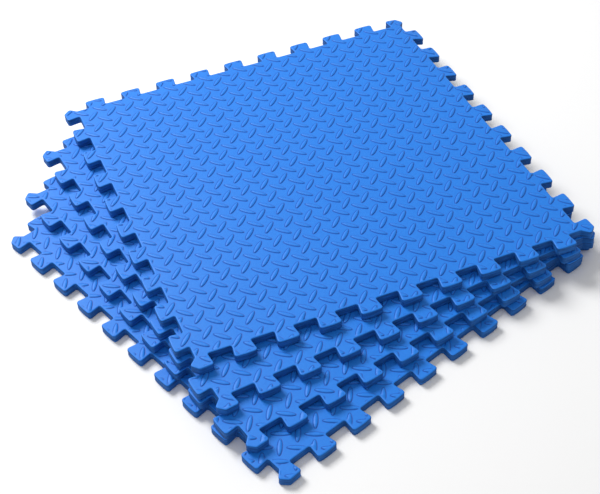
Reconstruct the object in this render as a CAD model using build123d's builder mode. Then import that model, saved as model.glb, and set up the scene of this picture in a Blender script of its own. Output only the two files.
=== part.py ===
from build123d import *

import math
import os

# Four interlocking foam blocking mats in a fanned pile. Millimetres, +Z up. The origin is the
# centre of the bottom mat's underside, and the bottom mat's edges run along X and Y. Every mat
# is one slab with the same outline: a square whose four sides are the same run of sockets and
# dovetail teeth, each side turned a quarter turn from the last, so that the corners form a
# pinwheel and any side fits any side of another mat.

# --- driving dimensions ------------------------------------------------------------------

tile_side = 600.0  # pitch of laid mats, and the nominal side of one mat
teeth_per_side = 10
mat_thickness = 14.0  # up to the tops of the moulded tread pattern
tooth_depth = 22.0  # from one mat's socket floors to those of the mat joined to it
flank_lean = 3.0  # how far each flank leans out between neck and head
tip_crown = 1.2  # how far the middle of a tip stands beyond its shoulders
interlock_clearance = 0.4  # play of a tooth in a socket, across its width and at its tip
head_radius = 4.0
neck_radius = 2.5
knob_radius = 5.0
crown_blend = 0.6  # how much of each half of a tip the crown's arc takes

# The pile is a fan: each mat is turned by the same angle about a pivot near one corner of
# the bottom mat, and the two middle mats have slipped a few millimetres besides.
fan_turn = -6.36  # degrees from one mat to the next
fan_pivot_inset_x = 39.0  # from the bottom mat's nominal +X side
fan_pivot_inset_y = 51.0  # from the bottom mat's nominal -Y side
mat_slips = {
    "bottom_mat": (0.0, 0.0),
    "second_mat": (-1.0, -5.0),
    "third_mat": (-1.5, -4.5),
    "top_mat": (0.0, 0.0),
}

# --- sizes that follow -------------------------------------------------------------------

half_side = tile_side / 2
pitch = tile_side / teeth_per_side
socket_floor = -tooth_depth / 2  # measured outwards from the nominal side
tip_level = tooth_depth / 2 - interlock_clearance
shoulder_level = tip_level - tip_crown
mid_width = pitch / 2 - interlock_clearance
neck_half = (mid_width - flank_lean) / 2
head_half = (mid_width + flank_lean) / 2
crown_radius = crown_blend * head_half * head_half / tip_crown  # arc tangent to both slopes


def side_corners():
    """Corners of one side, from its first valley corner to its end knob.

    Each entry is (distance along the side, distance outwards from it, corner radius). A side
    starts with a socket, and its last tooth is the knob. The knob is cut off on two 45 degree
    lines through the nominal corner, so that four knobs share the point where mats meet.
    """
    corners = [(tooth_depth / 2, socket_floor, neck_radius)]
    for count in range(teeth_per_side):
        middle = (count + 0.75) * pitch
        corners.append((middle - neck_half, socket_floor, neck_radius))
        corners.append((middle - head_half, shoulder_level, head_radius))
        if count < teeth_per_side - 1:
            corners.append((middle, tip_level, crown_radius))
            corners.append((middle + head_half, shoulder_level, head_radius))
            corners.append((middle + neck_half, socket_floor, neck_radius))
    corners.append((tile_side - tip_level, tip_level, knob_radius))
    corners.append((tile_side - interlock_clearance, 0.0, head_radius))
    return corners


def mat_corners():
    """Corners and radii of the whole outline, clockwise from the -X +Y corner.

    The four sides are the same list, each turned a quarter turn further about the centre.
    """
    points = []
    radii = []
    for quarter in range(4):
        turn = math.radians(-90.0 * quarter)
        for along, outwards, radius in side_corners():
            x = along - half_side
            y = half_side + outwards
            points.append((
                x * math.cos(turn) - y * math.sin(turn),
                x * math.sin(turn) + y * math.cos(turn),
            ))
            radii.append(radius)
    return points, radii


def mat_plane(level, slip):
    """Plane of a mat's underside: its centre carried round the fan's pivot, and turned."""
    turn = math.radians(fan_turn * level)
    pivot_x = half_side - fan_pivot_inset_x
    pivot_y = fan_pivot_inset_y - half_side
    centre_x = pivot_x - pivot_x * math.cos(turn) + pivot_y * math.sin(turn) + slip[0]
    centre_y = pivot_y - pivot_x * math.sin(turn) - pivot_y * math.cos(turn) + slip[1]
    return Plane(
        origin=(centre_x, centre_y, level * mat_thickness),
        x_dir=(math.cos(turn), math.sin(turn), 0),
        z_dir=(0, 0, 1),
    )


# --- the mats ----------------------------------------------------------------------------

os.makedirs("parts", exist_ok=True)
outline_points, outline_radii = mat_corners()

with BuildSketch() as outline:
    with BuildLine():
        FilletPolyline(*outline_points, radius=outline_radii, close=True)
    make_face()

for level, (name, slip) in enumerate(mat_slips.items()):
    with BuildPart() as mat:
        with BuildSketch(mat_plane(level, slip)):
            add(outline.sketch)
        extrude(amount=mat_thickness)
    mat.part.label = name
    export_step(mat.part, f"parts/{name}.step")
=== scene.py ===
import logging
import math
from dataclasses import dataclass, field
from enum import Enum

import bpy
import numpy as np
from mathutils import Matrix, Vector
from mathutils.geometry import delaunay_2d_cdt


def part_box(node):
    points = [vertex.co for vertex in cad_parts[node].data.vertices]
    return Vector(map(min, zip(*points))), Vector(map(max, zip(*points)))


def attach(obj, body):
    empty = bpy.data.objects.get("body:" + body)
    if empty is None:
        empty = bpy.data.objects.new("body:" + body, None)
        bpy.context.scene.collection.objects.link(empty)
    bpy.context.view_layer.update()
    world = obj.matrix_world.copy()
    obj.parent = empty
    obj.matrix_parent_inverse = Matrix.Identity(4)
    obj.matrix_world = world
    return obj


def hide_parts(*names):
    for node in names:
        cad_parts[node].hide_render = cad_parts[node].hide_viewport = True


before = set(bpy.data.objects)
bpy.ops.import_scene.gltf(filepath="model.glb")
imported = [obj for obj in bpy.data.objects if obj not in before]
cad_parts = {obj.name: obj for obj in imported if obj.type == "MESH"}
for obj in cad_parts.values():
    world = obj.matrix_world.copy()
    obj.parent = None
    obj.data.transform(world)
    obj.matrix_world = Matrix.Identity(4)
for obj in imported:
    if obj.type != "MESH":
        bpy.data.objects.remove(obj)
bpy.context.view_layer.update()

# Metres and degrees throughout, in the CAD frame: +Z up, the origin under the bottom mat's
# centre, and the bottom mat's edges along X and Y.

SKIN_SLOT = 0  # a mat's own material slots: its moulded skin, and the cut wall round it
CUT_SLOT = 1
DENT_SHADE_ATTRIBUTE = "dent"  # how deep in the hollow round a leaf a vertex lies, 0 to 1: the mask of the skin's painted shade there
SIDES = 4
QUARTER_TURN = 360.0 / SIDES
WHITE = (1.0, 1.0, 1.0)
INSIDE_LOOP = 1  # what the triangulation keeps: the triangles inside the edges given to it
SAME_POINT = 1e-7  # how close two points are when the triangulation takes them as one
NO_LINKS = np.zeros((0, 2), int)

log = logging.getLogger("blocking_mats")


class LeafRun(Enum):
    """Which way a tread leaf runs across the mat, as its angle from X in degrees."""

    RISING = 45.0
    FALLING = -45.0


def turned(points: np.ndarray, degrees: float) -> np.ndarray:
    """Turn points about the origin.

    Args:
        points: An (n, 2) array of places.
        degrees: The angle, anticlockwise seen from above.

    Returns:
        The (n, 2) array of turned places.
    """
    angle = math.radians(degrees)
    cosine, sine = math.cos(angle), math.sin(angle)
    return points @ np.array([[cosine, sine], [-sine, cosine]])


def smooth_step(share: np.ndarray) -> np.ndarray:
    """Ease from 0 to 1: three times the square less twice the cube, flat past both ends."""
    held = np.clip(share, 0.0, 1.0)
    return held * held * (3.0 - 2.0 * held)


def direction(azimuth: float, elevation: float) -> Vector:
    """Find the way from the object to something that looks at it.

    Args:
        azimuth: Degrees round from the front, towards +X.
        elevation: Degrees above the horizon.

    Returns:
        The unit vector: the front is -Y, and +X is a quarter turn on from it.
    """
    around, above = math.radians(azimuth), math.radians(elevation)
    flat = math.cos(above)
    return Vector((math.sin(around) * flat, -math.cos(around) * flat, math.sin(above)))


@dataclass(frozen=True)
class MatOutline:
    """The cut outline of one mat about its own centre, with the sizes of the CAD mats."""

    tile_side: float = 0.600
    teeth_per_side: int = 10
    tooth_depth: float = 0.022
    flank_lean: float = 0.003
    tip_crown: float = 0.0012
    interlock_clearance: float = 0.0004
    first_tooth: float = 0.75  # pitches from a side's first corner to its first tooth's middle
    head_radius: float = 0.004
    neck_radius: float = 0.0025
    knob_radius: float = 0.005
    crown_blend: float = 0.6  # of the tip's half width: how far out its crown is rounded
    arc_points: int = 6
    longest_step: float = 0.0025
    rim_room: float = 0.006  # more than any inset row, margin or fading takes

    @property
    def half_side(self) -> float:
        """Half the nominal side."""
        return self.tile_side / 2

    @property
    def tip_level(self) -> float:
        """How far a tooth's tip stands out from the nominal side."""
        return self.tooth_depth / 2 - self.interlock_clearance

    def side_corners(self) -> np.ndarray:
        """List the corners of one side, clockwise, from its first socket to its end knob.

        Returns:
            An (n, 3) array of distance along the side, distance outwards, and radius.
        """
        pitch = self.tile_side / self.teeth_per_side
        width = pitch / 2 - self.interlock_clearance
        neck, head = (width - self.flank_lean) / 2, (width + self.flank_lean) / 2
        floor, tip = -self.tooth_depth / 2, self.tip_level
        crown_radius = self.crown_blend * head * head / self.tip_crown
        tooth = np.array([
            (-neck, floor, self.neck_radius),
            (-head, tip - self.tip_crown, self.head_radius),
            (0.0, tip, crown_radius),
            (head, tip - self.tip_crown, self.head_radius),
            (neck, floor, self.neck_radius),
        ])
        middles = (np.arange(self.teeth_per_side) + self.first_tooth) * pitch
        teeth = np.repeat(tooth[None], self.teeth_per_side, axis=0)
        teeth[:, :, 0] += middles[:, None]
        up_to_last_head = teeth.reshape(-1, 3)[:-3]
        first = [(self.tooth_depth / 2, floor, self.neck_radius)]
        knob = [
            (self.tile_side - tip, tip, self.knob_radius),
            (self.tile_side - self.interlock_clearance, 0.0, self.head_radius),
        ]
        return np.concatenate([first, up_to_last_head, knob])

    def loop(self) -> np.ndarray:
        """Work out the whole outline as one closed run of points, clockwise.

        Each corner is an arc tangent to both of its edges: it starts the radius times the
        tangent of half the turn before the corner, and its centre stands one radius to the
        inside of the turn. Straight stretches are divided evenly, no step longer than asked.

        Returns:
            An (n, 2) array of places about the mat's centre.
        """
        side = self.side_corners()
        flat = np.stack([side[:, 0] - self.half_side, self.half_side + side[:, 1]], axis=1)
        quarters = [turned(flat, -QUARTER_TURN * count) for count in range(SIDES)]
        corners = np.concatenate(quarters)
        radii = np.tile(side[:, 2], SIDES)
        incoming = corners - np.roll(corners, 1, axis=0)
        incoming /= np.linalg.norm(incoming, axis=1)[:, None]
        outgoing = np.roll(incoming, -1, axis=0)
        turn = np.arctan2(
            incoming[:, 0] * outgoing[:, 1] - incoming[:, 1] * outgoing[:, 0],
            (incoming * outgoing).sum(axis=1),
        )
        start = corners - incoming * (radii * np.tan(np.abs(turn) / 2))[:, None]
        inwards = np.stack([-incoming[:, 1], incoming[:, 0]], axis=1) * np.sign(turn)[:, None]
        centre = start + inwards * radii[:, None]
        angle = turn[:, None] * np.linspace(0.0, 1.0, self.arc_points)
        spoke = (start - centre)[:, None]
        cosine, sine = np.cos(angle), np.sin(angle)
        arc = np.stack([
            spoke[..., 0] * cosine - spoke[..., 1] * sine,
            spoke[..., 0] * sine + spoke[..., 1] * cosine,
        ], axis=-1) + centre[:, None]
        points = arc.reshape(-1, 2)
        reach = np.roll(points, -1, axis=0) - points
        pieces = np.ceil(np.linalg.norm(reach, axis=1) / self.longest_step).astype(int)
        owner = np.repeat(np.arange(len(points)), pieces)
        place = np.arange(len(owner)) - np.repeat(np.cumsum(pieces) - pieces, pieces)
        return points[owner] + reach[owner] * (place / pieces[owner])[:, None]

    def inset(self, loop: np.ndarray, distance: float) -> np.ndarray:
        """Move the outline inwards, each point along its own normal.

        Args:
            loop: The outline's points, clockwise.
            distance: How far to move them.

        Returns:
            The moved points, in the same order.
        """
        along = np.roll(loop, -1, axis=0) - np.roll(loop, 1, axis=0)
        along /= np.linalg.norm(along, axis=1)[:, None]
        outwards = np.stack([-along[:, 1], along[:, 0]], axis=1)
        return loop - outwards * distance

    def depth(self, loop: np.ndarray, points: np.ndarray) -> np.ndarray:
        """Measure how far inside a loop each point lies.

        A point is inside if a ray from it towards +X crosses the loop an odd number of times.
        Points within the plain square inside the socket floors need no such test, nor do
        points well past the teeth. A level edge crosses no ray, so any rise will do for it.

        Args:
            loop: The closed loop's points.
            points: The points to measure.

        Returns:
            The distance to the loop's nearest point, negative outside the loop. Points of the
            plain square get the rim room, and points past the teeth the tooth depth, negative.
        """
        core = self.half_side - self.tooth_depth / 2 - self.rim_room
        outer = core + 2 * self.tooth_depth
        furthest = np.abs(points).max(axis=1)
        found = np.where(furthest < core, self.rim_room, -self.tooth_depth)
        band = np.flatnonzero((furthest >= core) & (furthest < outer))
        tested = points[band][:, None]
        after = np.roll(loop, -1, axis=0)
        spans = (loop[:, 1] > tested[..., 1]) != (after[:, 1] > tested[..., 1])
        rise = np.where(after[:, 1] == loop[:, 1], 1.0, after[:, 1] - loop[:, 1])
        crossing = loop[:, 0] + (tested[..., 1] - loop[:, 1]) / rise * (after - loop)[:, 0]
        inside = (spans & (tested[..., 0] < crossing)).sum(axis=1) % 2 == 1
        nearest = np.hypot(*(tested - loop).transpose(2, 0, 1)).min(axis=1)
        found[band] = np.where(inside, nearest, -nearest)
        return found


@dataclass(frozen=True)
class TreadPattern:
    """The moulded tread: raised leaves on a square lattice, every other one crossing over."""

    pitch: float = 0.0304
    leaf_length: float = 0.0262
    leaf_width: float = 0.0069
    tip_power: float = 1.85  # 2 gives an ellipse, and less gives more pointed tips
    leaf_height: float = 0.0009
    slope: float = 0.0012
    dent_depth: float = 0.00030
    dent_reach: float = 0.0010  # to either side of a leaf's rim
    least_steepness: float = 1.0  # keeps the distance finite at a leaf's middle
    ring_levels: tuple[float, ...] = (-0.0010, -0.0001, 0.0005, 0.0011)
    ring_points: int = 16
    spoke_span: tuple[float, float] = (0.05, 2.0)  # shares of a spoke that are tried for a ring
    spoke_trials: int = 391
    spine: tuple[float, ...] = (-0.4, 0.4)  # shares of the half length
    spare_cells: int = 2  # beyond those that just reach a square's edge

    def inwardness(self, along: np.ndarray, across: np.ndarray) -> np.ndarray:
        """Distance in from a leaf's rim, negative outside it.

        The rim is where the square of the distance along the leaf, as a share of its half
        length, and the tip power of the distance across it, as a share of its half width, add
        up to 1. What is missing from 1, over the slope of that sum, is the distance.

        Args:
            along: Distance from the leaf's middle along it.
            across: Distance from its middle line.

        Returns:
            The distance in from the rim, for each point.
        """
        half_length, half_width = self.leaf_length / 2, self.leaf_width / 2
        share_along, share_across = np.abs(along) / half_length, np.abs(across) / half_width
        missing = 1 - share_along**2 - share_across**self.tip_power
        steepness = np.hypot(
            2 * share_along / half_length,
            self.tip_power * share_across ** (self.tip_power - 1) / half_width,
        )
        return missing / np.maximum(steepness, self.least_steepness)

    def ring(self, level: float) -> np.ndarray:
        """Run points round a leaf at one distance in from its rim.

        Points go by even angles of an ellipse, half a step off its axes, which sets them
        closer together at the tips. Each is where the distance in from the rim comes to the
        level on its own spoke.

        Args:
            level: The distance in from the rim, negative outside it.

        Returns:
            An (n, 2) array of places along and across the leaf.
        """
        angle = (np.arange(self.ring_points) + 0.5) * 2 * math.pi / self.ring_points
        spoke = np.stack([
            np.cos(angle) * self.leaf_length / 2, np.sin(angle) * self.leaf_width / 2
        ], axis=1)
        trial = np.linspace(*self.spoke_span, self.spoke_trials)
        inward = self.inwardness(*(spoke.T[:, :, None] * trial))
        share = np.array([np.interp(-level, -row, trial) for row in inward])
        return spoke * share[:, None]

    def leaf_points(self) -> np.ndarray:
        """Gather the points that shape one leaf: its rings, and a few along its spine."""
        rings = [self.ring(level) for level in self.ring_levels]
        spine = np.array([(share * self.leaf_length / 2, 0.0) for share in self.spine])
        return np.concatenate([*rings, spine])

    def leaf_links(self) -> np.ndarray:
        """Pair up the leaf points that follow each other round each ring."""
        here = np.arange(self.ring_points)
        pairs = np.stack([here, np.roll(here, -1)], axis=1)
        return np.concatenate([
            pairs + self.ring_points * ring for ring in range(len(self.ring_levels))
        ])

    def lattice_point(self, run: LeafRun) -> np.ndarray:
        """Middle of the first leaf that runs this way: the falling ones fill the cells."""
        return np.full(2, 0.0 if run is LeafRun.RISING else self.pitch / 2)

    def leaves(self, reach: float) -> tuple[np.ndarray, np.ndarray]:
        """Place every leaf's points within a square.

        Args:
            reach: Half the square's side.

        Returns:
            An (n, 2) array of places in the tread's own frame, and the pairs of them that
            edges join.
        """
        count = int(reach / self.pitch) + self.spare_cells
        steps = np.arange(-count, count + 1) * self.pitch
        cells = np.stack(np.meshgrid(steps, steps), axis=-1).reshape(-1, 1, 2)
        leaves = np.concatenate([
            cells + self.lattice_point(run) + turned(self.leaf_points(), run.value)
            for run in LeafRun
        ])
        starts = np.arange(len(leaves))[:, None, None] * leaves.shape[1]
        return leaves.reshape(-1, 2), (self.leaf_links() + starts).reshape(-1, 2)

    def nearest(self, points: np.ndarray) -> np.ndarray:
        """Distance in from the rim of the nearest leaf of either run.

        Args:
            points: An (n, 2) array of places in the tread's own frame.

        Returns:
            The distance, negative between leaves.
        """
        found = []
        for run in LeafRun:
            offset = points - self.lattice_point(run)
            offset -= np.round(offset / self.pitch) * self.pitch
            local = turned(offset, -run.value)
            found.append(self.inwardness(local[:, 0], local[:, 1]))
        return np.maximum(*found)

    def dent(self, inward: np.ndarray) -> np.ndarray:
        """Share of the full dent: a raised cosine across the narrow hollow round a leaf."""
        place = np.clip(inward / self.dent_reach, -1.0, 1.0)
        return 0.5 + 0.5 * np.cos(math.pi * place)

    def height(self, inward: np.ndarray) -> np.ndarray:
        """Height above the plain skin: an eased slope up to a leaf's flat top, less the dent."""
        rise = smooth_step(inward / self.slope) * self.leaf_height
        return rise - self.dent(inward) * self.dent_depth


@dataclass(frozen=True)
class SheetWaves:
    """The slight unevenness of each level in the pile, which the mats above and below share."""

    amount: float = 0.00035
    lengths: tuple[float, ...] = (0.41, 0.27, 0.19)
    headings: tuple[float, ...] = (25.0, 140.0, 80.0)
    level_turn: float = 37.0  # degrees that each level's waves turn on from the last
    level_phase: float = 1.7  # radians that they shift on
    wave_phase: float = 2.1  # radians from one wave of a level to the next

    def lift(self, points: np.ndarray, level: int) -> np.ndarray:
        """Height of one level above its plane: three sine waves that cross, added up.

        Args:
            points: An (n, 2) array of places in the pile's frame.
            level: How many mats lie below; the floor, level 0, is flat.

        Returns:
            The height at each point.
        """
        total = np.zeros(len(points))
        if level == 0:
            return total
        for count, (length, heading) in enumerate(zip(self.lengths, self.headings)):
            along = turned(points, -heading - self.level_turn * level)[:, 0]
            phase = self.level_phase * level + self.wave_phase * count
            total += np.sin(along * 2 * math.pi / length + phase)
        return total * self.amount / len(self.lengths)


class Shader:
    """A material under construction: one Principled shader and the nodes that feed it."""

    def __init__(self, name: str) -> None:
        """Start a material.

        Args:
            name: The material's name.
        """
        self.material = bpy.data.materials.new(name)
        self.material.use_nodes = True
        self.nodes = self.material.node_tree.nodes
        self.links = self.material.node_tree.links
        self.nodes.clear()
        output = self.nodes.new("ShaderNodeOutputMaterial")
        self.surface = self.nodes.new("ShaderNodeBsdfPrincipled")
        self.links.new(self.surface.outputs["BSDF"], output.inputs["Surface"])
        self.place = self.nodes.new("ShaderNodeTexCoord").outputs["Object"]

    def set_input(self, name: str, value: float | tuple[float, ...]) -> None:
        """Set one plain value on the shader's own socket."""
        self.surface.inputs[name].default_value = value

    def link(self, output: bpy.types.NodeSocket, name: str) -> None:
        """Feed one of the shader's sockets."""
        self.links.new(output, self.surface.inputs[name])

    def noise(self, scale: float, detail: float, squeeze: float = 1.0) -> bpy.types.NodeSocket:
        """Add soft noise.

        Args:
            scale: Features per metre.
            detail: How many finer layers are added to it.
            squeeze: How many times closer the features are upwards than sideways.

        Returns:
            The socket of the noise, from 0 to 1.
        """
        mapping = self.nodes.new("ShaderNodeMapping")
        mapping.inputs["Scale"].default_value = (1.0, 1.0, squeeze)
        self.links.new(self.place, mapping.inputs["Vector"])
        node = self.nodes.new("ShaderNodeTexNoise")
        node.inputs["Scale"].default_value = scale
        node.inputs["Detail"].default_value = detail
        self.links.new(mapping.outputs["Vector"], node.inputs["Vector"])
        return node.outputs["Fac"]

    def cells(self, scale: float) -> bpy.types.NodeSocket:
        """Add rounded cells, in cells per metre, and return the distance to their middles."""
        node = self.nodes.new("ShaderNodeTexVoronoi")
        node.feature = "SMOOTH_F1"
        node.inputs["Scale"].default_value = scale
        self.links.new(self.place, node.inputs["Vector"])
        return node.outputs["Distance"]

    def attribute(self, name: str) -> bpy.types.NodeSocket:
        """Read one of the mesh's own attributes."""
        node = self.nodes.new("ShaderNodeAttribute")
        node.attribute_name = name
        return node.outputs["Fac"]

    def mix_colours(
        self,
        share: bpy.types.NodeSocket,
        first: bpy.types.NodeSocket | tuple[float, ...],
        second: bpy.types.NodeSocket | tuple[float, ...],
    ) -> bpy.types.NodeSocket:
        """Blend two colours.

        Args:
            share: How much of the second colour shows, from 0 to 1.
            first: A colour, or the socket that gives it.
            second: The other colour, or its socket.

        Returns:
            The socket of the blended colour.
        """
        node = self.nodes.new("ShaderNodeMix")
        node.data_type = "RGBA"
        self.links.new(share, node.inputs["Factor"])
        for side, value in (("A", first), ("B", second)):
            socket = next(s for s in node.inputs if s.name == side and s.type == "RGBA")
            if isinstance(value, tuple):
                socket.default_value = (*value, 1.0)
            else:
                self.links.new(value, socket)
        return next(s for s in node.outputs if s.type == "RGBA")

    def mapped(
        self, value: bpy.types.NodeSocket, span: tuple[float, float]
    ) -> bpy.types.NodeSocket:
        """Stretch a value that runs from 0 to 1 over another span."""
        node = self.nodes.new("ShaderNodeMapRange")
        node.inputs["To Min"].default_value, node.inputs["To Max"].default_value = span
        self.links.new(value, node.inputs["Value"])
        return node.outputs["Result"]

    def bump(
        self, height: bpy.types.NodeSocket, distance: float, strength: float
    ) -> bpy.types.NodeSocket:
        """Turn a height into a surface normal.

        Args:
            height: The height's socket, from 0 to 1.
            distance: The height of a 1, in metres.
            strength: How much of the bump shows.

        Returns:
            The socket of the normal.
        """
        node = self.nodes.new("ShaderNodeBump")
        node.inputs["Strength"].default_value = strength
        node.inputs["Distance"].default_value = distance
        self.links.new(height, node.inputs["Height"])
        return node.outputs["Normal"]


@dataclass(frozen=True)
class FoamSkin:
    """The matt moulded skin of closed-cell foam, with painted shade that darkens the hollows
    round the tread's leaves.
    """

    light_tint: tuple[float, float, float] = (0.006, 0.195, 0.745)
    deep_tint: tuple[float, float, float] = (0.003, 0.168, 0.685)
    # painted shade: the dark blue laid into the hollows round the leaves
    dent_shade_tint: tuple[float, float, float] = (0.001, 0.075, 0.420)
    fleck_tint: tuple[float, float, float] = (0.010, 0.225, 0.800)
    roughness: tuple[float, float] = (0.44, 0.56)
    specular: float = 0.36
    sheen: float = 0.10
    patch_size: float = 0.045
    patch_detail: float = 4.0
    fleck_size: float = 0.0035
    fleck_detail: float = 5.0
    fleck_share: tuple[float, float] = (-0.25, 0.95)
    grain_size: float = 0.0011
    grain_detail: float = 3.0
    grain_height: float = 0.00014
    grain_bump: float = 0.6

    def material(self, name: str) -> bpy.types.Material:
        """Make the skin's material.

        Args:
            name: The material's name.

        Returns:
            The material: patchy, flecked blue, darkened by painted shade in the hollows round
                the leaves, finely grained.
        """
        made = Shader(name)
        made.set_input("Specular IOR Level", self.specular)
        made.set_input("Sheen Weight", self.sheen)
        patches = made.noise(1 / self.patch_size, self.patch_detail)
        grain = made.noise(1 / self.grain_size, self.grain_detail)
        flecks = made.noise(1 / self.fleck_size, self.fleck_detail)
        flecks = made.mapped(flecks, self.fleck_share)
        tint = made.mix_colours(patches, self.deep_tint, self.light_tint)
        tint = made.mix_colours(flecks, tint, self.fleck_tint)
        dent_shade = made.attribute(DENT_SHADE_ATTRIBUTE)
        # painted shade: the dent attribute darkens the skin towards the dark tint in the hollow
        # round each leaf, standing in for the shade there
        made.link(made.mix_colours(dent_shade, tint, self.dent_shade_tint), "Base Color")
        made.link(made.mapped(grain, self.roughness), "Roughness")
        made.link(made.bump(grain, self.grain_height, self.grain_bump), "Normal")
        return made.material


@dataclass(frozen=True)
class CutFoamWithPaintedShade:
    """The wall where a mat was die-cut: open cells and rougher, its tints darker than the skin's
    partly for the open cells and partly as painted shade.
    """

    # painted shade in part: both tints sit well below the skin's so that the walls look shaded,
    # beyond what the cut foam's own colour gives
    light_tint: tuple[float, float, float] = (0.010, 0.140, 0.500)
    deep_tint: tuple[float, float, float] = (0.002, 0.055, 0.220)
    roughness: tuple[float, float] = (0.66, 0.82)
    specular: float = 0.3
    streak_length: float = 0.020
    streak_detail: float = 3.0
    streak_squeeze: float = 9.0
    streak_share: tuple[float, float] = (-0.7, 1.7)
    cell_size: float = 0.0008
    cell_height: float = 0.00012
    cell_bump: float = 0.7

    def material(self, name: str) -> bpy.types.Material:
        """Make the cut wall's material.

        Args:
            name: The material's name.

        Returns:
            The material: dark blue streaked along the cut, the darkness partly painted shade,
                with small rounded cells.
        """
        made = Shader(name)
        made.set_input("Specular IOR Level", self.specular)
        streaks = made.noise(1 / self.streak_length, self.streak_detail, self.streak_squeeze)
        streaks = made.mapped(streaks, self.streak_share)
        cells = made.cells(1 / self.cell_size)
        tint = made.mix_colours(streaks, self.deep_tint, self.light_tint)
        made.link(tint, "Base Color")
        made.link(made.mapped(cells, self.roughness), "Roughness")
        made.link(made.bump(cells, self.cell_height, self.cell_bump), "Normal")
        return made.material


@dataclass(frozen=True)
class PaleFloor:
    """A plain pale studio floor."""

    colour: tuple[float, float, float] = (0.94, 0.94, 0.94)
    roughness: float = 0.9

    def material(self, name: str) -> bpy.types.Material:
        """Make the floor's plain material."""
        made = Shader(name)
        made.set_input("Base Color", (*self.colour, 1.0))
        made.set_input("Roughness", self.roughness)
        return made.material


@dataclass(frozen=True)
class WallProfile:
    """A mat's edge in section: rounded top and bottom rims, and a slight waist between."""

    top_radius: float = 0.0018
    bottom_radius: float = 0.0018
    waist: float = 0.0002
    rim_steps: int = 5
    wall_steps: int = 3
    skin_above: int = 3  # bands of the top rim that still carry the moulded skin
    skin_below: int = 1  # and of the bottom rim

    def rows(self) -> list[tuple[float, float, float]]:
        """List the section's points from the top skin round to the underside.

        Both rims are quarter circles. The wall between them is drawn in by the waist times
        the sine of the way down it.

        Returns:
            For each point, its inset from the outline, its height above the level that it
            hangs on, and that level: 1 for the top skin, 0 for the underside, and a share
            between them for the wall.
        """
        angles = np.linspace(0.0, math.pi / 2, self.rim_steps + 1)
        arc = [(1 - math.sin(angle), 1 - math.cos(angle)) for angle in angles]
        top = [(self.top_radius * inset, -self.top_radius * drop, 1.0) for inset, drop in arc]
        bottom = [
            (self.bottom_radius * inset, self.bottom_radius * rise, 0.0)
            for inset, rise in arc[::-1]
        ]
        wall = []
        for step in range(1, self.wall_steps):
            down = step / self.wall_steps
            above = (1 - down) * -self.top_radius + down * self.bottom_radius
            wall.append((self.waist * math.sin(math.pi * down), above, 1 - down))
        return top + wall + bottom


@dataclass(frozen=True)
class VertexRuns:
    """How a mat's vertices are numbered: the rows of its wall, its tread, then its grid."""

    row_length: int
    rows: int
    tread_length: int

    @property
    def first_tread(self) -> int:
        """The first vertex of the tread."""
        return self.row_length * self.rows

    @property
    def first_grid(self) -> int:
        """The first vertex of the underside's grid."""
        return self.first_tread + self.tread_length

    @property
    def top_skin(self) -> np.ndarray:
        """Every vertex of the top skin: the first row and the tread."""
        return np.append(
            np.arange(self.row_length), np.arange(self.first_tread, self.first_grid)
        )

    def wall_quads(self) -> np.ndarray:
        """Join each row of the wall to the next, in bands of quads from the top down."""
        here = np.arange(self.row_length)
        after = np.roll(here, -1)
        band = np.stack([here, after, after + self.row_length, here + self.row_length], axis=1)
        starts = np.arange(self.rows - 1) * self.row_length
        return (band + starts[:, None, None]).reshape(-1, 4)

    def cap_triangles(self, triangles: np.ndarray, row: int, inner_start: int) -> np.ndarray:
        """Number a cap's points as the mesh does.

        Args:
            triangles: The cap's triangles, with the points of the loop round it numbered first.
            row: The row of the wall that is the loop.
            inner_start: The vertex of the first point within the loop.

        Returns:
            The triangles by the mesh's own vertex numbers.
        """
        of_loop = triangles < self.row_length
        on_loop = triangles + self.row_length * row
        return np.where(of_loop, on_loop, triangles - self.row_length + inner_start)


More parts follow.
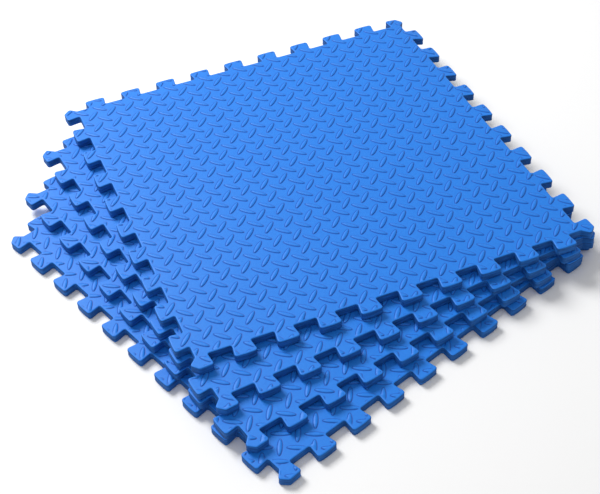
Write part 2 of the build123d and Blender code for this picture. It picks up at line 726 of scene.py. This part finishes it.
@dataclass
class FoamMat:
    """One foam mat: a cut sheet with a moulded tread, which stands for one CAD mat."""

    node: str
    level: int  # how many mats lie below it
    turn: float
    tread_middle: tuple[float, float]
    tread_turn: float
    back_curl: float  # its drop where it stands the curl's reach past the mat below
    right_curl: float
    supporter: "FoamMat | None" = None  # the mat below
    outline: MatOutline = field(default_factory=MatOutline)
    tread: TreadPattern = field(default_factory=TreadPattern)
    wall: WallProfile = field(default_factory=WallProfile)
    waves: SheetWaves = field(default_factory=SheetWaves)
    rest_gap: float = 0.0001  # between a mat's faces and the levels that it lies between
    curl_reach: float = 0.050
    under_step: float = 0.020
    cap_margin: float = 0.0009  # between a cap's own points and the loop round it
    tread_reach: float = 1.15  # of half the side: past the tips of the teeth
    tread_fade: float = 0.003  # how far in from the rim the leaves come to their full height
    normal_step: float = 0.00005

    def __post_init__(self) -> None:
        """Read the mat's middle and its two faces from its CAD node's box."""
        low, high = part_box(self.node)
        self.middle = np.array([(low.x + high.x) / 2, (low.y + high.y) / 2])
        self.underside, self.topside = low.z, high.z

    def placed(self, points: np.ndarray) -> np.ndarray:
        """Carry places from the mat's own frame into the pile's."""
        return turned(points, self.turn) + self.middle

    def own(self, points: np.ndarray) -> np.ndarray:
        """Carry places from the pile's frame into the mat's own."""
        return turned(points - self.middle, -self.turn)

    def to_tread(self, points: np.ndarray) -> np.ndarray:
        """Carry places from the mat's own frame into its tread's."""
        return turned(points - np.array(self.tread_middle), -self.tread_turn)

    def curl(self, points: np.ndarray) -> np.ndarray:
        """How far the mat hangs down where it stands out past the tips of the mat below.

        It grows with the square of the distance past the mat below, on its back and on its
        right side, and by nothing where the mat rests on something.

        Args:
            points: An (n, 2) array of places in the pile's frame.

        Returns:
            The drop at each point.
        """
        if self.supporter is None:
            return np.zeros(len(points))
        beyond = self.supporter.own(points) - self.outline.half_side - self.outline.tip_level
        share = np.maximum(beyond, 0.0) / self.curl_reach
        return share[:, 0] ** 2 * self.right_curl + share[:, 1] ** 2 * self.back_curl

    def heights(self, points: np.ndarray, share: float, fade: np.ndarray | float) -> np.ndarray:
        """Height of the plain underside, the top skin with its tread, or a level between.

        Args:
            points: An (n, 2) array of places in the mat's own frame.
            share: 0 for the underside, 1 for the top skin.
            fade: How much of the tread there is, from 0 to 1.

        Returns:
            The height at each point, in the pile's frame.
        """
        placed = self.placed(points)
        low = self.underside + self.rest_gap + self.waves.lift(placed, self.level)
        skin = self.topside - self.rest_gap - self.tread.leaf_height
        high = skin + self.waves.lift(placed, self.level + 1)
        high += self.tread.height(self.tread.nearest(self.to_tread(points))) * fade
        return low + (high - low) * share - self.curl(placed)

    def tread_points(self, loop: np.ndarray) -> tuple[np.ndarray, np.ndarray]:
        """Find the tread's points that lie on the mat, clear of its rim.

        An edge is kept where both of its ends and its middle are.

        Args:
            loop: The closed loop round the top skin.

        Returns:
            The points in the mat's own frame, and the pairs of them that edges join.
        """
        points, links = self.tread.leaves(self.outline.half_side * self.tread_reach)
        points = turned(points, self.tread_turn) + np.array(self.tread_middle)
        kept = self.outline.depth(loop, points) > self.cap_margin
        middles = self.outline.depth(loop, points[links].mean(axis=1))
        whole = kept[links].all(axis=1) & (middles > self.cap_margin)
        number = np.cumsum(kept) - 1
        return points[kept], number[links[whole]]

    def cap(
        self, loop: np.ndarray, inner: np.ndarray, links: np.ndarray
    ) -> tuple[np.ndarray, np.ndarray]:
        """Cover the inside of a loop with triangles through given points.

        Args:
            loop: The closed loop, clockwise.
            inner: Points within it.
            links: Pairs of the inner points that an edge must join.

        Returns:
            The points, the loop's first, and the triangles, anticlockwise seen from above.
        """
        points = np.concatenate([loop, inner])
        ring = [(step, (step + 1) % len(loop)) for step in range(len(loop))]
        ring += (links + len(loop)).tolist()
        inputs = [Vector(point) for point in points.tolist()]
        _, _, faces, *_ = delaunay_2d_cdt(inputs, ring, [], INSIDE_LOOP, SAME_POINT, False)
        triangles = np.array(faces)
        corners = points[triangles]
        triangles = triangles[self.outline.depth(loop, corners.mean(axis=1)) > 0]
        ahead, aside = (points[triangles[:, k]] - points[triangles[:, 0]] for k in (1, 2))
        flipped = ahead[:, 0] * aside[:, 1] < ahead[:, 1] * aside[:, 0]
        triangles[flipped] = triangles[flipped][:, ::-1]
        return points, triangles

    def smooth_top(
        self, mesh: bpy.types.Mesh, top: np.ndarray, points: np.ndarray, fade: np.ndarray
    ) -> None:
        """Give the top skin the normals of its own heights, and leave the rest as they are.

        A height's normal leans back by the slope along X and along Y, each taken between two
        points a short step to either side.

        Args:
            mesh: The mat's mesh.
            top: Which vertices lie on the top skin.
            points: Those vertices' places in the mat's own frame.
            fade: How much of the tread there is at each of them.
        """
        normals = np.empty(len(mesh.vertices) * 3)
        mesh.vertex_normals.foreach_get("vector", normals)
        normals = normals.reshape(-1, 3)
        step = self.normal_step
        rises = [
            self.heights(points - offset, 1.0, fade) - self.heights(points + offset, 1.0, fade)
            for offset in np.eye(2) * step
        ]
        lean = turned(np.stack(rises, axis=1) / (2 * step), self.turn)
        upright = np.concatenate([lean, np.ones((len(top), 1))], axis=1)
        normals[top] = upright / np.linalg.norm(upright, axis=1)[:, None]
        mesh.normals_split_custom_set_from_vertices(normals.tolist())

    def wall_rows(self, loop: np.ndarray) -> tuple[list[np.ndarray], list[np.ndarray]]:
        """Carry the outline round the wall's section.

        Args:
            loop: The outline's points, clockwise.

        Returns:
            The places of each row's points in the mat's own frame, and their heights.
        """
        places, heights = [], []
        for inset, above, share in self.wall.rows():
            row = self.outline.inset(loop, inset)
            places.append(row)
            heights.append(self.heights(row, share, 0.0) + above)
        return places, heights

    def under_points(self, loop: np.ndarray) -> np.ndarray:
        """Lay a plain grid of points on the underside, clear of its rim.

        Args:
            loop: The closed loop round the underside.

        Returns:
            The points in the mat's own frame.
        """
        reach = self.outline.half_side + self.outline.tooth_depth
        steps = np.arange(-reach, reach, self.under_step)
        grid = np.stack(np.meshgrid(steps, steps), axis=-1).reshape(-1, 2)
        return grid[self.outline.depth(loop, grid) > self.cap_margin]

    def mark_faces(self, mesh: bpy.types.Mesh, runs: VertexRuns) -> None:
        """Smooth every face, and give the bands of the cut wall their own material slot.

        Args:
            mesh: The mat's mesh, whose first faces are the bands of the wall.
            runs: How its vertices are numbered.
        """
        slots = np.full(len(mesh.polygons), SKIN_SLOT)
        first, last = self.wall.skin_above, runs.rows - 1 - self.wall.skin_below
        slots[runs.row_length * first : runs.row_length * last] = CUT_SLOT
        mesh.polygons.foreach_set("material_index", slots)
        mesh.polygons.foreach_set("use_smooth", np.ones(len(slots), bool))

    def mark_dent_shade(self, mesh: bpy.types.Mesh, runs: VertexRuns, dent_shade: np.ndarray) -> None:
        """Keep how deep in the hollow round a leaf each vertex lies, as the mask of the skin's
        painted shade.

        Args:
            mesh: The mat's mesh.
            runs: How its vertices are numbered.
            dent_shade: The share of the full dent at each vertex of the tread, which sets how
                much painted shade the skin gets there.
        """
        values = np.zeros(len(mesh.vertices), np.float32)
        values[runs.first_tread : runs.first_grid] = dent_shade
        mesh.attributes.new(DENT_SHADE_ATTRIBUTE, "FLOAT", "POINT").data.foreach_set("value", values)

    def build(self) -> bpy.types.Object:
        """Make the mat's closed mesh.

        The outline is carried round the wall's section as rows of quads. The top row is
        covered by triangles through the points of the tread, the bottom row by triangles
        through a plain grid. The tread fades out just inside the rim.

        Returns:
            The mesh object, with its place in its vertices.
        """
        places, row_heights = self.wall_rows(self.outline.loop())
        tread, top = self.cap(places[0], *self.tread_points(places[0]))
        grid, under = self.cap(places[-1], self.under_points(places[-1]), NO_LINKS)
        tread, grid = tread[len(places[0]):], grid[len(places[-1]):]
        runs = VertexRuns(len(places[0]), len(places), len(tread))
        top = runs.cap_triangles(top, 0, runs.first_tread)
        under = runs.cap_triangles(under, runs.rows - 1, runs.first_grid)[:, ::-1]
        faces = [*runs.wall_quads().tolist(), *top.tolist(), *under.tolist()]

        fade = smooth_step(self.outline.depth(places[0], tread) / self.tread_fade)
        flat = np.concatenate([*places, tread, grid])
        level = np.concatenate([
            *row_heights,
            self.heights(tread, 1.0, fade),
            self.heights(grid, 0.0, 0.0),
        ])
        vertices = np.concatenate([self.placed(flat), level[:, None]], axis=1)
        mesh = bpy.data.meshes.new(self.node + "_foam")
        mesh.from_pydata(vertices.tolist(), [], faces)

        self.mark_faces(mesh, runs)
        inward = self.tread.nearest(self.to_tread(tread))
        self.mark_dent_shade(mesh, runs, self.tread.dent(inward) * fade)
        mesh.update()
        skin_fade = np.append(np.zeros(runs.row_length), fade)
        self.smooth_top(mesh, runs.top_skin, flat[runs.top_skin], skin_fade)
        made = bpy.data.objects.new(self.node + "_foam", mesh)
        bpy.context.scene.collection.objects.link(made)
        return made

    def dress(
        self, piece: bpy.types.Object, skin: bpy.types.Material, cut: bpy.types.Material
    ) -> None:
        """Give the mat its finish and its place in the frame.

        Args:
            piece: The mat's mesh object.
            skin: The material of its moulded faces.
            cut: The material of its cut wall.
        """
        piece.data.materials.append(skin)
        piece.data.materials.append(cut)
        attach(piece, self.node)
        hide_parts(self.node)


@dataclass
class MatPile:
    """The four mats, fanned out as the CAD mats are."""

    fan_turn: float = -6.36
    skin: FoamSkin = field(default_factory=FoamSkin)
    cut: CutFoamWithPaintedShade = field(default_factory=CutFoamWithPaintedShade)

    def mats(self) -> list[FoamMat]:
        """List the mats from the bottom up, each resting on the one before."""
        # each mat's node, its tread's middle and turn, and its back and right curls
        rows = [
            ("bottom_mat", (0.004, 0.011), 0.6, 0.0, 0.0),
            ("second_mat", (-0.007, 0.003), 0.9, 0.0006, 0.0010),
            ("third_mat", (0.012, -0.006), 0.4, 0.0008, 0.0012),
            ("top_mat", (0.0096, -0.0062), 1.1, 0.0025, 0.0050),
        ]
        mats: list[FoamMat] = []
        for level, (node, middle, tread_turn, back, right) in enumerate(rows):
            below = mats[-1] if mats else None
            turn = self.fan_turn * level
            mats.append(FoamMat(node, level, turn, middle, tread_turn, back, right, below))
        return mats

    def build(self) -> None:
        """Build and dress every mat."""
        skin, cut = self.skin.material("foam_skin"), self.cut.material("foam_cut_painted_shade")
        for mat in self.mats():
            piece = mat.build()
            mat.dress(piece, skin, cut)
            log.info("%s: %d faces", piece.name, len(piece.data.polygons))


@dataclass(frozen=True)
class SoftLight:
    """One square softbox, aimed at a point."""

    name: str
    azimuth: float
    elevation: float
    distance: float
    side: float
    power: float
    colour: tuple[float, float, float] = WHITE

    def build(self, target: Vector) -> None:
        """Hang the softbox and aim it.

        Args:
            target: The point that it faces.
        """
        lamp = bpy.data.lights.new(self.name, "AREA")
        lamp.shape = "SQUARE"
        lamp.size = self.side
        lamp.energy = self.power
        lamp.color = self.colour
        holder = bpy.data.objects.new(self.name, lamp)
        bpy.context.scene.collection.objects.link(holder)
        back = direction(self.azimuth, self.elevation)
        holder.location = target + back * self.distance
        holder.rotation_euler = (-back).to_track_quat("-Z", "Y").to_euler()


@dataclass
class Studio:
    """The floor, the soft lights and the camera."""

    floor_side: float = 14.0
    fill_light: float = 0.42
    camera_azimuth: float = -40.12
    camera_elevation: float = 43.53
    camera_roll: float = -2.45
    camera_distance: float = 1.717
    camera_lens: float = 73.32
    aim: tuple[float, float, float] = (-0.0368, -0.0479, 0.056)
    floor: PaleFloor = field(default_factory=PaleFloor)
    lights: tuple[SoftLight, ...] = (
        SoftLight("key_softbox", -174.0, 46.0, distance=3.2, side=1.3, power=98.0),
        SoftLight("fill_softbox", -60.0, 60.0, distance=3.5, side=2.5, power=12.0),
    )

    def build_floor(self) -> None:
        """Lay the floor as one large square under the pile."""
        half = self.floor_side / 2
        mesh = bpy.data.meshes.new("studio_floor")
        corners = [(-half, -half, 0), (half, -half, 0), (half, half, 0), (-half, half, 0)]
        mesh.from_pydata(corners, [], [(0, 1, 2, 3)])
        mesh.materials.append(self.floor.material("pale_floor"))
        floor = bpy.data.objects.new("studio_floor", mesh)
        bpy.context.scene.collection.objects.link(floor)

    def build_world(self) -> None:
        """Fill the surroundings with even white light."""
        world = bpy.data.worlds.new("studio_surroundings")
        world.use_nodes = True
        background = world.node_tree.nodes["Background"]
        background.inputs["Color"].default_value = (*WHITE, 1.0)
        background.inputs["Strength"].default_value = self.fill_light
        bpy.context.scene.world = world
        bpy.context.scene.view_settings.view_transform = "Standard"

    def build_camera(self) -> None:
        """Set the camera at its distance from the aim, looking at it, with a slight roll."""
        data = bpy.data.cameras.new("studio_camera")
        data.lens = self.camera_lens
        camera = bpy.data.objects.new("studio_camera", data)
        bpy.context.scene.collection.objects.link(camera)
        back = direction(self.camera_azimuth, self.camera_elevation)
        level = Vector((0.0, 0.0, 1.0)).cross(back).normalized()
        upright = Matrix((level, back.cross(level), back)).transposed()
        roll = Matrix.Rotation(math.radians(self.camera_roll), 3, "Z")
        camera.rotation_euler = (upright @ roll).to_euler()
        camera.location = Vector(self.aim) + back * self.camera_distance
        bpy.context.scene.camera = camera

    def build(self) -> None:
        """Build the whole studio."""
        self.build_floor()
        self.build_world()
        for light in self.lights:
            light.build(Vector(self.aim))
        self.build_camera()
        log.info("studio: floor, %d lights, camera", len(self.lights))


def main() -> None:
    """Build the pile and the studio, in that order."""
    logging.basicConfig(level=logging.INFO, format="%(name)s %(message)s")
    MatPile().build()
    Studio().build()


if __name__ == "__main__":
    main()
